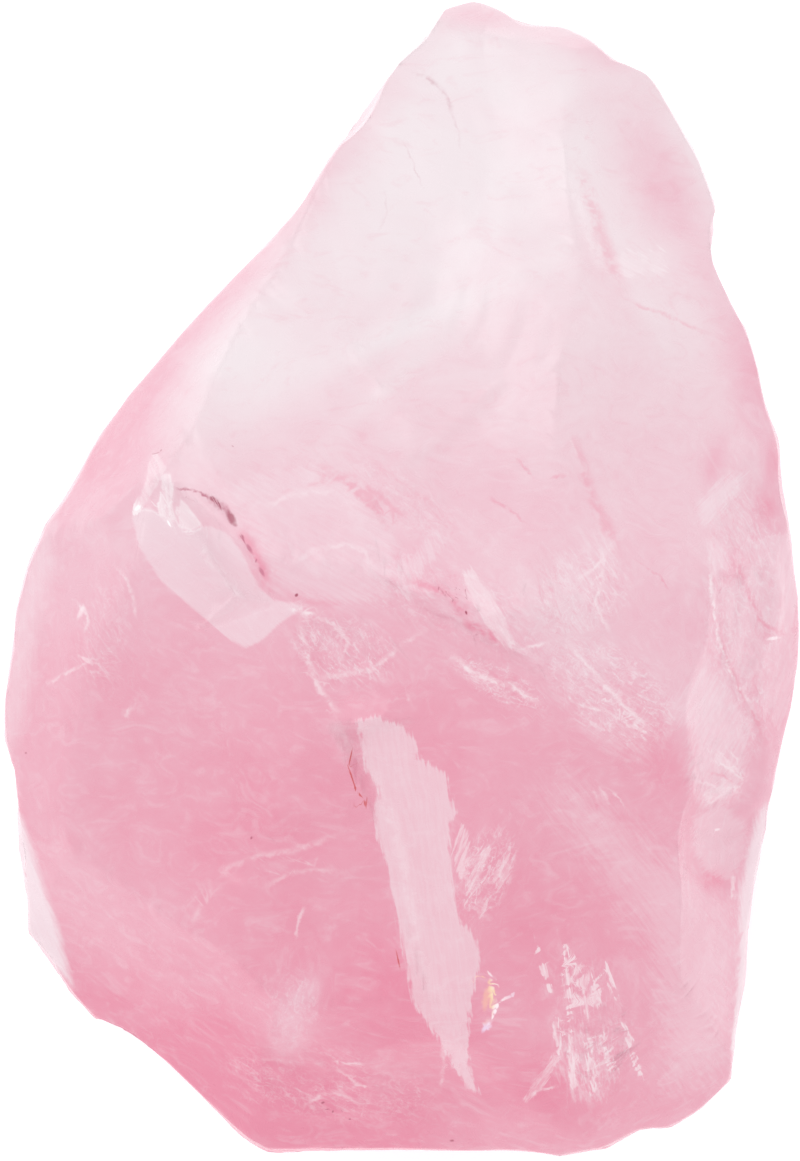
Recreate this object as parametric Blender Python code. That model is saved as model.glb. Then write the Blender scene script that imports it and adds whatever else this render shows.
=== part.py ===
"""A rough chunk of rose quartz, lying on the flat break of its underside.

The stone is one solid. It is shaped the way a real chunk is: flat breaks, shell-like scoops and small steps
cut into a block whose outline is the stone's own. X runs across the stone, Y along it towards its pointed
end, and Z is the height above the surface that it lies on. All lengths below are millimetres until the mesh
is made, and every direction is a compass angle in degrees, 0 for +X and 90 for +Y.
"""

import math
import random
from typing import NamedTuple

import bmesh
import bpy
import numpy as np
from mathutils import Vector

NAME = "rose_quartz_chunk"
MM = 0.001

# Driving sizes

WIDTH = 55.0
LENGTH = 80.0
HALF_SIZE = (WIDTH / 2, LENGTH / 2, 16.0)
HEART = np.array((0.0, -2.8, 13.0))
BALL_DETAIL = 8
TRIANGLES = 8200
SHARP_ANGLE = 24.0
UPPER_SIDE_SLOPE = 0.06
LOWER_SIDE_SLOPE = 0.30
WALL_LEAN = 42.0
SEED = 12
WAVES_OF_EACH = 3
WAVE_SIZES = ((26.0, 0.34), (15.0, 0.16), (8.0, 0.05))
MARCH = 1.0
HALVINGS = 10
FLAT_BASE = 0.05

# The finish: pale pink quartz with a glassy skin

PINK = (0.86, 0.50, 0.58, 1.0)
ROUGHNESS = 0.22

# The stone's outline from above, clockwise from the pointed end: across, along, and the height of its edge

OUTLINE = (
    (5.1, 40.0, 14.5),
    (6.9, 39.3, 14.5),
    (8.4, 38.3, 14.5),
    (11.0, 38.3, 14.5),
    (13.1, 37.4, 14.0),
    (14.6, 36.0, 14.0),
    (15.7, 35.6, 14.0),
    (17.1, 34.9, 14.0),
    (18.1, 33.4, 14.0),
    (19.1, 31.6, 14.0),
    (20.4, 29.3, 14.0),
    (21.4, 26.6, 14.5),
    (21.9, 24.9, 14.5),
    (21.5, 22.0, 15.0),
    (22.5, 19.8, 15.0),
    (23.8, 17.3, 15.5),
    (24.6, 14.7, 15.5),
    (25.1, 12.0, 16.0),
    (26.0, 9.7, 16.0),
    (26.2, 6.6, 16.0),
    (26.6, 4.2, 16.0),
    (27.0, 1.3, 16.0),
    (27.4, -1.4, 16.0),
    (27.3, -4.9, 15.5),
    (27.0, -8.0, 15.5),
    (26.3, -11.1, 15.0),
    (25.7, -13.9, 14.5),
    (25.0, -17.3, 14.0),
    (24.5, -20.1, 13.5),
    (24.0, -24.3, 13.0),
    (23.8, -27.7, 12.5),
    (23.1, -31.2, 12.0),
    (22.8, -34.6, 11.5),
    (21.6, -35.9, 11.0),
    (20.5, -36.9, 11.0),
    (18.7, -38.0, 10.5),
    (16.6, -38.1, 10.5),
    (14.2, -39.5, 10.0),
    (11.0, -40.0, 10.0),
    (8.2, -39.6, 10.0),
    (4.8, -39.7, 10.0),
    (-0.1, -39.5, 10.0),
    (-4.2, -39.6, 9.5),
    (-9.2, -39.7, 9.0),
    (-10.8, -38.8, 9.0),
    (-12.4, -37.3, 9.0),
    (-14.3, -35.3, 9.0),
    (-16.4, -33.4, 9.5),
    (-18.8, -31.7, 9.5),
    (-20.8, -30.9, 10.0),
    (-22.6, -28.8, 10.0),
    (-24.3, -26.3, 10.0),
    (-25.7, -24.6, 10.5),
    (-25.7, -22.2, 11.0),
    (-26.3, -18.4, 11.5),
    (-26.4, -16.3, 12.0),
    (-26.8, -13.2, 12.5),
    (-27.4, -11.2, 13.0),
    (-27.4, -8.3, 13.5),
    (-26.7, -4.8, 14.0),
    (-26.5, -2.1, 14.5),
    (-25.8, 0.7, 15.0),
    (-24.5, 3.7, 16.0),
    (-22.8, 6.0, 17.0),
    (-21.6, 8.3, 17.5),
    (-20.5, 10.2, 18.0),
    (-18.4, 13.0, 18.5),
    (-14.8, 17.2, 18.5),
    (-11.0, 21.3, 18.5),
    (-7.0, 25.5, 18.0),
    (-4.8, 29.1, 17.5),
    (-2.7, 32.0, 17.0),
    (-0.1, 35.7, 16.0),
    (1.7, 37.3, 15.5),
    (3.0, 39.4, 15.0),
)


class Break(NamedTuple):
    """A flat break through one point, leaning `tilt` degrees from level towards the compass angle `faces`."""

    name: str
    x: float
    y: float
    z: float
    tilt: float
    faces: float


class Scoop(NamedTuple):
    """A shell-like hollow: a ball of `radius` sunk `depth` into the breaks at one place."""

    name: str
    x: float
    y: float
    depth: float
    radius: float


class Chips(NamedTuple):
    """Shell-like chips scattered round the stone's edge: how many, where they sit above or below the edge,
    and how wide a ball and how deep a bite each one is.
    """

    count: int
    lowest: float
    highest: float
    radii: tuple
    depths: tuple


class Step(NamedTuple):
    """A corner broken out of the breaks: a floor `depth` under them at one place, and steep walls round it.

    Each wall is one point on it and the compass angle towards the side that is broken away.
    """

    name: str
    x: float
    y: float
    depth: float
    tilt: float
    faces: float
    walls: tuple


UPPER_BREAKS = (
    Break("upper_face", 2.0, 19.4, 23.5, 19.0, 92.0),
    Break("upper_left_face", -9.0, 12.0, 26.4, 18.0, 116.0),
    Break("left_flank", -12.8, 18.6, 20.3, 54.0, 141.5),
    Break("upper_right_face", 17.3, 27.7, 18.4, 27.0, 38.0),
    Break("tip_bevel", 8.0, 37.3, 17.3, 50.0, 80.0),
    Break("right_shoulder", 23.0, 12.5, 21.5, 44.0, 8.0),
    Break("right_face", 21.0, -3.5, 24.8, 28.0, -10.0),
    Break("right_edge", 25.6, -9.0, 18.6, 58.0, -8.0),
    Break("lower_left_face", -14.6, -0.9, 27.4, 20.0, 216.0),
    Break("lower_face", -7.0, -1.4, 30.3, 15.0, 255.0),
    Break("lower_right_face", 13.5, -22.0, 25.2, 16.0, 296.0),
    Break("left_shoulder", -23.6, -8.0, 21.0, 42.0, 186.0),
    Break("lower_left_bevel", -21.8, -26.6, 16.4, 50.0, 212.0),
    Break("bottom_left_bevel", -14.5, -32.4, 15.6, 46.0, 228.0),
    Break("bottom_face", 0.0, -35.6, 17.2, 42.0, 264.0),
    Break("bottom_right_bevel", 17.0, -34.6, 16.8, 44.0, 300.0),
    Break("lower_right_edge", 22.2, -26.0, 17.8, 56.0, -10.0),
)

UPPER_SCOOPS = (
    Scoop("upper_shell", 3.0, 21.0, 1.1, 62.0),
    Scoop("upper_left_shell", -6.5, 13.0, 0.8, 50.0),
    Scoop("upper_middle_shell", 8.5, 9.0, 0.9, 40.0),
    Scoop("upper_right_shell", 16.5, 27.0, 0.9, 32.0),
    Scoop("right_middle_shell", 17.5, 10.0, 1.0, 34.0),
    Scoop("lower_left_shell", -18.0, -13.0, 1.2, 60.0),
    Scoop("lower_shell", -7.0, -19.5, 1.2, 50.0),
    Scoop("lower_right_shell", 15.5, -23.0, 1.3, 60.0),
    Scoop("right_shell_a", 22.6, 5.0, 0.7, 15.0),
    Scoop("right_shell_b", 22.9, -2.0, 1.0, 11.0),
    Scoop("right_shell_c", 21.5, -7.5, 1.1, 14.0),
    Scoop("right_shell_d", 22.6, -12.5, 1.0, 11.0),
    Scoop("right_shell_e", 21.5, -17.5, 0.9, 13.0),
    Scoop("middle_shell_a", -4.2, -5.4, 1.3, 11.0),
    Scoop("middle_shell_b", 1.4, -2.6, 1.0, 10.0),
    Scoop("middle_shell_c", 11.6, -6.2, 1.0, 12.0),
    Scoop("bottom_shell_a", -7.0, -34.0, 0.5, 15.0),
    Scoop("bottom_shell_b", 2.0, -35.0, 0.6, 18.0),
    Scoop("bottom_shell_c", 12.0, -35.0, 0.5, 15.0),
)

UPPER_STEPS = (
    Step("ledge", -11.4, 1.8, 2.3, 1.5, 45.0,
         ((-13.0, 5.0, 232.0), (-10.3, 1.9, 211.0), (-7.0, -1.4, 129.0))),
    Step("ledge_end", -17.3, 4.6, 1.0, 26.0, 165.0, ((-16.4, 4.2, 170.0),)),
    Step("splinter_scar", -1.2, -19.8, 1.0, 22.0, 223.0,
         ((-1.2, -19.8, 12.9), (2.8, -31.4, 31.0), (-2.1, -9.4, 262.0))),
    Step("middle_step", 5.4, -4.5, 1.0, 7.0, 250.0, ((4.4, -1.9, 236.0), (11.0, -5.5, 200.0))),
)

UNDERSIDE_BREAKS = (
    Break("under_point", 5.0, 40.0, 14.5, 124.0, 84.0),
    Break("under_upper_right", 21.0, 26.5, 12.5, 130.0, 34.0),
    Break("under_right", 27.4, -1.4, 15.5, 127.0, 2.0),
    Break("under_lower_right", 24.0, -30.0, 10.4, 121.0, -26.0),
    Break("under_bottom", 2.0, -40.0, 10.0, 128.0, 268.0),
    Break("under_lower_left", -24.0, -27.0, 10.5, 125.0, 222.0),
    Break("under_left", -27.4, -8.0, 12.3, 132.0, 181.0),
    Break("under_upper_left", -11.5, 21.3, 15.2, 129.0, 142.0),
    Break("low_upper", 3.0, 22.0, 3.2, 164.0, 74.0),
    Break("low_right", 17.0, -3.0, 3.6, 162.0, 352.0),
    Break("low_bottom", 3.0, -30.0, 3.8, 163.0, 288.0),
    Break("low_lower_left", -14.0, -24.0, 4.2, 161.0, 232.0),
    Break("low_left", -13.0, 4.0, 3.4, 163.0, 158.0),
)

UNDERSIDE_SCOOPS = (
    Scoop("under_shell_a", 19.0, 10.0, 1.2, 22.0),
    Scoop("under_shell_b", 16.0, -26.0, 1.1, 18.0),
    Scoop("under_shell_c", -19.0, -14.0, 1.3, 24.0),
    Scoop("under_shell_d", -8.0, 17.0, 1.2, 26.0),
    Scoop("under_shell_e", -3.0, -33.0, 1.0, 14.0),
    Scoop("low_shell_a", 8.0, 20.0, 1.0, 34.0),
    Scoop("low_shell_b", 16.0, -8.0, 1.1, 30.0),
    Scoop("low_shell_c", -12.0, -24.0, 1.2, 36.0),
)

EDGE_CHIPS = (
    Chips(54, -9.0, 4.0, (4.5, 12.0), (0.2, 0.5)),
    Chips(26, -14.0, -8.0, (12.0, 26.0), (0.5, 1.0)),
)


def slope_of(tilt, faces):
    """The outward normal of a break that leans `tilt` degrees from level towards `faces`."""
    lean, turn = math.radians(tilt), math.radians(faces)
    return np.array((math.sin(lean) * math.cos(turn), math.sin(lean) * math.sin(turn), math.cos(lean)))


def height_on(breaks, x, y, upper=True):
    """The height of the outermost break above or below one place, and that break's normal."""
    found = []
    for b in breaks:
        normal = slope_of(b.tilt, b.faces)
        height = b.z - (normal[0] * (x - b.x) + normal[1] * (y - b.y)) / normal[2]
        found.append((height, tuple(normal)))
    height, normal = min(found) if upper else max(found)
    return height, np.array(normal)


def break_distance(points, b):
    """How far each point is outside a flat break."""
    return (points - (b.x, b.y, b.z)) @ slope_of(b.tilt, b.faces)


def scoop_distance(points, scoop, breaks, upper=True):
    """How far each point is inside the ball of a scoop, which is where the stone is gone."""
    height, normal = height_on(breaks, scoop.x, scoop.y, upper)
    centre = np.array((scoop.x, scoop.y, height)) + normal * (scoop.radius - scoop.depth)
    return scoop.radius - np.linalg.norm(points - centre, axis=1)


def step_distance(points, step):
    """How far each point is inside the corner that a step has lost."""
    height, _ = height_on(UPPER_BREAKS, step.x, step.y)
    gone = break_distance(points, Break("", step.x, step.y, height - step.depth, step.tilt, step.faces))
    for x, y, faces in step.walls:
        top, _ = height_on(UPPER_BREAKS, x, y)
        gone = np.minimum(gone, break_distance(points, Break("", x, y, top, 90.0 - WALL_LEAN, faces)))
    return gone


def edge_towards(directions):
    """For each direction from the heart, the distance to the outline seen from above and the edge's height."""
    corners = np.array(OUTLINE)
    across = corners[:, :2] - HEART[:2]
    turns = np.arctan2(across[:, 1], across[:, 0])
    order = np.argsort(turns)
    across, heights, turns = across[order], corners[order, 2], turns[order]
    wanted = np.arctan2(directions[:, 1], directions[:, 0])
    after = np.searchsorted(turns, wanted) % len(turns)
    before = after - 1
    a, along = across[before], across[after] - across[before]
    ray = np.stack((np.cos(wanted), np.sin(wanted)), axis=1)
    crossing = ray[:, 0] * along[:, 1] - ray[:, 1] * along[:, 0]
    reach = (a[:, 0] * along[:, 1] - a[:, 1] * along[:, 0]) / crossing
    share = (a[:, 0] * ray[:, 1] - a[:, 1] * ray[:, 0]) / crossing
    return reach, heights[before] + share * (heights[after] - heights[before])


def make_waves():
    """Long shallow waves that bend every break a little: their direction, pace, phase and height."""
    chance = random.Random(SEED)
    waves = []
    for length, height in WAVE_SIZES:
        for _ in range(WAVES_OF_EACH):
            pace = Vector((chance.gauss(0, 1), chance.gauss(0, 1), chance.gauss(0, 1))).normalized()
            push = Vector((chance.gauss(0, 1), chance.gauss(0, 1), chance.gauss(0, 1))).normalized()
            waves.append((
                np.array(pace) * (2 * math.pi / length),
                chance.uniform(0, 2 * math.pi),
                np.array(push) * height,
            ))
    return waves


def bent(points):
    """The points moved by the waves, so that what is flat for them is gently curved on the stone."""
    moved = points.copy()
    for pace, phase, push in WAVES:
        moved += np.sin(points @ pace + phase)[:, None] * push
    return moved


def make_chips():
    """The centre and radius of the ball behind each chip round the stone's edge."""
    chance = random.Random(SEED)
    balls = []
    for chips in EDGE_CHIPS:
        for _ in range(chips.count):
            at = chance.randrange(len(OUTLINE))
            x, y, edge = OUTLINE[at]
            before, after = OUTLINE[at - 1], OUTLINE[(at + 1) % len(OUTLINE)]
            out = Vector((before[1] - after[1], after[0] - before[0], 0.0)).normalized()
            rise = chance.uniform(chips.lowest, chips.highest)
            radius = chance.uniform(*chips.radii)
            depth = chance.uniform(*chips.depths)
            lean = UPPER_SIDE_SLOPE if rise > 0 else -LOWER_SIDE_SLOPE
            normal = Vector((out.x, out.y, lean)).normalized()
            place = Vector((x, y, edge + rise)) - out * lean * rise
            balls.append((np.array(place + normal * (radius - depth)), radius))
    return balls


def outside_distance(points, reach, edge_height):
    """How far each point is outside the stone, below zero within it."""
    side = np.hypot(points[:, 0] - HEART[0], points[:, 1] - HEART[1]) - reach
    rise = points[:, 2] - edge_height
    result = side + np.maximum(UPPER_SIDE_SLOPE * rise, -LOWER_SIDE_SLOPE * rise)
    result = np.maximum(result, -points[:, 2])
    points = bent(points)
    for b in UPPER_BREAKS + UNDERSIDE_BREAKS:
        result = np.maximum(result, break_distance(points, b))
    for scoop in UPPER_SCOOPS:
        result = np.maximum(result, scoop_distance(points, scoop, UPPER_BREAKS))
    for scoop in UNDERSIDE_SCOOPS:
        result = np.maximum(result, scoop_distance(points, scoop, UNDERSIDE_BREAKS, upper=False))
    for step in UPPER_STEPS:
        result = np.maximum(result, step_distance(points, step))
    for centre, radius in CHIP_BALLS:
        result = np.maximum(result, radius - np.linalg.norm(points - centre, axis=1))
    return result


def surface_reach(directions):
    """How far along each direction the stone's surface lies from its heart."""
    reach, edge_height = edge_towards(directions)
    low = np.zeros(len(directions))
    going = np.ones(len(directions), bool)
    while going.any():
        ahead = HEART + directions[going] * (low[going] + MARCH)[:, None]
        within = outside_distance(ahead, reach[going], edge_height[going]) < 0
        indices = np.flatnonzero(going)
        low[indices[within]] += MARCH
        going[indices[~within]] = False
    high = low + MARCH
    for _ in range(HALVINGS):
        middle = (low + high) / 2
        within = outside_distance(HEART + directions * middle[:, None], reach, edge_height) < 0
        low, high = np.where(within, middle, low), np.where(within, high, middle)
    return low


def fine_stone():
    """The stone as a dense mesh: a ball whose points slide along their rays to the stone's surface."""
    bm = bmesh.new()
    bmesh.ops.create_icosphere(bm, subdivisions=BALL_DETAIL, radius=1.0)
    stretched = np.array([v.co for v in bm.verts]) * HALF_SIZE
    directions = stretched / np.linalg.norm(stretched, axis=1)[:, None]
    points = HEART + directions * surface_reach(directions)[:, None]
    for v, point in zip(bm.verts, points):
        v.co = Vector(point) * MM
    mesh = bpy.data.meshes.new(NAME)
    bm.to_mesh(mesh)
    bm.free()
    return mesh


def thinned(obj):
    """The object's mesh with only as many triangles as its breaks need."""
    decimate = obj.modifiers.new("thin_out", "DECIMATE")
    decimate.ratio = TRIANGLES / len(obj.data.polygons)
    decimate.use_collapse_triangulate = True
    depsgraph = bpy.context.evaluated_depsgraph_get()
    mesh = bpy.data.meshes.new_from_object(obj.evaluated_get(depsgraph))
    obj.modifiers.remove(decimate)
    return mesh


def settle(mesh):
    """Press the base exactly flat, bring the stone to its width and length, and centre it above the origin."""
    points = np.array([v.co for v in mesh.vertices])
    points[points[:, 2] < FLAT_BASE * MM, 2] = 0.0
    low, high = points[:, :2].min(axis=0), points[:, :2].max(axis=0)
    points[:, :2] -= (low + high) / 2
    points[:, :2] *= np.array((WIDTH, LENGTH)) * MM / (high - low)
    for v, point in zip(mesh.vertices, points):
        v.co = Vector(point)


def quartz():
    """The stone's material."""
    material = bpy.data.materials.new("rose_quartz")
    material.use_nodes = True
    shader = material.node_tree.nodes["Principled BSDF"]
    shader.inputs["Base Color"].default_value = PINK
    shader.inputs["Roughness"].default_value = ROUGHNESS
    shader.inputs["Metallic"].default_value = 0.0
    return material


WAVES = make_waves()
CHIP_BALLS = make_chips()


def main():
    for old in list(bpy.data.objects):
        bpy.data.objects.remove(old)
    parts = bpy.data.collections.new(NAME)
    bpy.context.scene.collection.children.link(parts)
    stone = bpy.data.objects.new(NAME, fine_stone())
    parts.objects.link(stone)
    stone.data = thinned(stone)
    stone.data.name = NAME
    settle(stone.data)
    stone.data.shade_smooth()
    stone.data.set_sharp_from_angle(angle=math.radians(SHARP_ANGLE))
    stone.data.materials.append(quartz())


if __name__ == "__main__":
    main()
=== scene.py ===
"""A rough chunk of rose quartz lying on a pale floor.

The stone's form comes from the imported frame. Its copy here is made finer, gets the ripples, splinters and
worn edges of real quartz, and carries the veils, cracks and change of pink that the material paints.
"""

import math
from typing import NamedTuple

import bmesh
import bpy
import numpy as np
from bpy.props import FloatProperty, FloatVectorProperty, IntProperty, PointerProperty
from mathutils import Matrix, Vector, noise
from mathutils.bvhtree import BVHTree


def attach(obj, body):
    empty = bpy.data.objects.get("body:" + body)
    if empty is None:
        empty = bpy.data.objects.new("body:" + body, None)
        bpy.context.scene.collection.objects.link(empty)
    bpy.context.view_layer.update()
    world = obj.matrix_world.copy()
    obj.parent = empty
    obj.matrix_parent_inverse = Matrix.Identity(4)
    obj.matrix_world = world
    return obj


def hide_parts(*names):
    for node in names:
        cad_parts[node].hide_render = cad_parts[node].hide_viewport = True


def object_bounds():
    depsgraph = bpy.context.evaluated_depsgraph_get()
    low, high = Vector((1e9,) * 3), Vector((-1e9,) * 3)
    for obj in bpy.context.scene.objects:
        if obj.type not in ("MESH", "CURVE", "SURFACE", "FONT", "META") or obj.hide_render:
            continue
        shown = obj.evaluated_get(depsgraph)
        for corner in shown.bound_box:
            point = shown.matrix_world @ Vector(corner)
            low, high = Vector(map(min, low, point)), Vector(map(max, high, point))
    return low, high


bl_info = {
    "name": "Rose Quartz Chunk",
    "version": (1, 0, 0),
    "blender": (4, 5, 0),
    "location": "3D View > Sidebar > Rose Quartz",
    "description": "Builds a rough chunk of rose quartz and the floor, light and camera that show it",
    "category": "Add Mesh",
}

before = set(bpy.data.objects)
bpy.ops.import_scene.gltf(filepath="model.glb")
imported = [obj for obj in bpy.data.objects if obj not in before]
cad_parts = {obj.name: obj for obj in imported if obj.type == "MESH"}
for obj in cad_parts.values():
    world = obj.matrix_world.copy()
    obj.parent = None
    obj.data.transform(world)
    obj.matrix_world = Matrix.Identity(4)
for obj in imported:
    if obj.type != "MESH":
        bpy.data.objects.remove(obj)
CAD_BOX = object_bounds()
NODE = "rose_quartz_chunk"
MM = 0.001

# The photograph's frame: its size, the pixel over the stone's middle, and the real length of one pixel

IMAGE_WIDTH = 800
IMAGE_HEIGHT = 1161
MIDDLE_COLUMN = 401.0
MIDDLE_ROW = 580.0
PIXEL = 0.0693

# How the stone's mesh is made finer

MERGE = 1e-6
CREASE_FROM = 22.0
CREASE_FULL = 58.0
SHARP_ANGLE = 38.0

# How far off a stored distance counts, in millimetres

FAR = 9.0
SPOT_REACH = 1.6

# Heights of the fine relief, in millimetres

LUMPS = 0.10
GRIT = 0.05
HACKLES = 0.11
CRACK_DEPTH = 0.10
SPLINTER_LIP = 0.06
VEIL_LIP = 0.08

# Where the key light hangs, in metres

KEY_WIDTH = 0.50
KEY_PLACE = (-0.25, 0.32, 0.72)


class Veil(NamedTuple):
    """A pale fault plane or flake: how pale, how soft and ragged its edge is in millimetres, how streaky
    it is, the way its grain runs in degrees, its outline in pixels, and how bright the painted highlight
    along its edge is."""

    name: str
    pale: float
    soft: float
    ragged: float
    streak: float
    grain: float
    outline: tuple
    rim: float = 0.0


class Stroke(NamedTuple):
    """A crack or thin splinter, or a painted highlight or pale band of painted light over a shaded crease:
    its half-width in millimetres, strength, pixels along it and tint. A tint of 0 is white, 1 is rust and
    -1 is deep pink."""

    name: str
    half_width: float
    strength: float
    route: tuple
    tint: float = 0.0


class Spot(NamedTuple):
    """A speck or glint: pixel centre, half-sizes in millimetres, turn in degrees, strength and colour."""

    name: str
    column: float
    row: float
    half_long: float
    half_wide: float
    turn: float
    strength: float
    colour: tuple


class Patch(NamedTuple):
    """A soft oval where the pink is deeper or paler: pixel centre, half-sizes, turn in degrees and change."""

    name: str
    column: float
    row: float
    half_long: float
    half_wide: float
    turn: float
    change: float


class Zone(NamedTuple):
    """An oval where the break is splintery: pixel centre, half-sizes, turn in degrees, how rough its relief
    is, how many pale splinters show in it, and the way they run in degrees."""

    name: str
    column: float
    row: float
    half_long: float
    half_wide: float
    turn: float
    hackle: float
    wisps: float
    grain: float


class Ripple(NamedTuple):
    """Shell-like waves round a point: centre, nearest and furthest reach, the way they face, how wide a
    sector they fill, their spacing and their height, in pixels, degrees and millimetres."""

    name: str
    column: float
    row: float
    near: float
    far: float
    faces: float
    sector: float
    spacing: float
    height: float


def table(kind, rows):
    """The rows of a table as records of one kind."""
    return tuple(kind(*row) for row in rows)


VEILS = table(Veil, (
    ("shelf", 0.50, 0.16, 0.16, 0.10, 140.0,
     ((135, 512), (152, 508), (172, 520), (192, 530), (212, 526), (232, 534), (248, 560),
      (262, 588), (276, 600), (312, 606), (294, 614), (281, 623), (262, 641), (247, 647),
      (228, 636), (198, 611), (166, 582), (142, 547)), 0.05),
    ("middle_shell", 0.30, 0.90, 1.00, 0.30, 150.0,
     ((226, 490), (260, 476), (300, 468), (322, 468), (342, 480), (362, 500), (383, 518),
      (396, 545), (402, 575), (392, 598), (370, 606), (341, 604), (300, 596), (281, 590),
      (270, 572), (262, 545), (246, 516))),
    ("flake", 0.52, 0.20, 0.42, 0.14, -82.0,
     ((357, 717), (379, 714), (405, 725), (417, 739), (416, 756), (433, 762), (448, 773),
      (449, 795), (458, 807), (449, 823), (451, 857), (455, 896), (461, 919), (477, 933),
      (480, 953), (475, 981), (469, 1009), (468, 1051), (472, 1073), (480, 1093), (469, 1087),
      (452, 1062), (437, 1034), (424, 1017), (410, 995), (405, 953), (399, 924), (391, 885),
      (385, 857), (376, 832), (374, 812), (379, 784), (366, 768))),
    ("middle_wisp", 0.26, 1.00, 0.80, 0.50, -62.0,
     ((552, 562), (585, 532), (607, 530), (616, 560), (600, 596), (586, 630), (566, 645), (546, 604))),
    ("strand_wisp", 0.24, 1.20, 0.80, 0.60, -36.0,
     ((540, 628), (600, 650), (655, 698), (662, 736), (640, 764), (596, 742), (556, 700))),
    ("corner_wisp", 0.36, 0.50, 0.70, 0.50, -70.0,
     ((394, 560), (410, 556), (436, 530), (444, 546), (424, 572), (410, 602), (394, 594))),
    ("feather_root", 0.34, 0.50, 1.00, 0.75, -78.0,
     ((560, 1034), (576, 1022), (592, 1030), (612, 1048), (616, 1076), (602, 1098), (574, 1098),
      (560, 1080), (555, 1056))),
    ("right_veil", 0.26, 2.60, 2.20, 0.10, -52.0,
     ((536, 790), (580, 846), (622, 900), (645, 953), (657, 1037), (660, 1093), (690, 1090),
      (732, 1060), (738, 960), (735, 900), (704, 880), (664, 850), (604, 800), (562, 776))),
    ("round_shell", 0.30, 0.50, 0.45, 0.10, 30.0,
     ((690, 815), (720, 802), (744, 820), (746, 858), (726, 880), (702, 870), (688, 845))),
    ("fan_shell", 0.34, 0.70, 0.75, 0.45, 60.0,
     ((656, 702), (672, 690), (688, 678), (704, 665), (715, 678), (739, 702), (750, 722),
      (746, 760), (742, 782), (725, 800), (700, 806), (688, 790), (684, 760), (688, 726),
      (670, 724), (660, 718))),
    ("edge_shell", 0.30, 0.34, 0.46, 0.30, 80.0,
     ((731, 560), (745, 541), (787, 534), (797, 575), (794, 624), (771, 631), (752, 600)), 0.10),
    ("edge_shell_low", 0.22, 0.35, 0.50, 0.30, 70.0,
     ((765, 636), (796, 633), (792, 690), (778, 728), (758, 702), (752, 662)), 0.08),
    ("inner_shell", 0.22, 0.40, 0.60, 0.30, 75.0,
     ((717, 585), (738, 578), (751, 610), (763, 650), (751, 690), (735, 672), (722, 640))),
    ("arc_shell", 0.34, 0.60, 0.60, 0.20, 80.0,
     ((700, 546), (712, 541), (724, 548), (725, 572), (709, 577))),
    ("high_shell", 0.46, 0.50, 0.60, 0.20, 45.0,
     ((694, 508), (706, 490), (728, 474), (742, 474), (738, 492), (722, 508), (704, 528), (692, 524))),
    # The two left rim veils: pale milky rims, partly painted glow of light shining through the thin edge
    ("left_rim", 0.42, 1.50, 0.30, 0.05, 90.0,
     ((4, 700), (12, 620), (32, 548), (56, 508), (60, 560), (44, 622), (34, 690), (20, 744),
      (6, 752))),
    ("lower_left_rim", 0.85, 0.55, 0.20, 0.05, -65.0,
     ((12, 800), (26, 818), (36, 850), (46, 884), (58, 920), (66, 952), (74, 988), (52, 966),
      (26, 936), (14, 880))),
    ("lower_right_rim", 0.75, 0.50, 0.25, 0.05, -80.0,
     ((756, 810), (768, 800), (766, 856), (757, 930), (750, 1010), (740, 1066), (726, 1050),
      (735, 960), (736, 900), (744, 850))),
))

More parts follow.
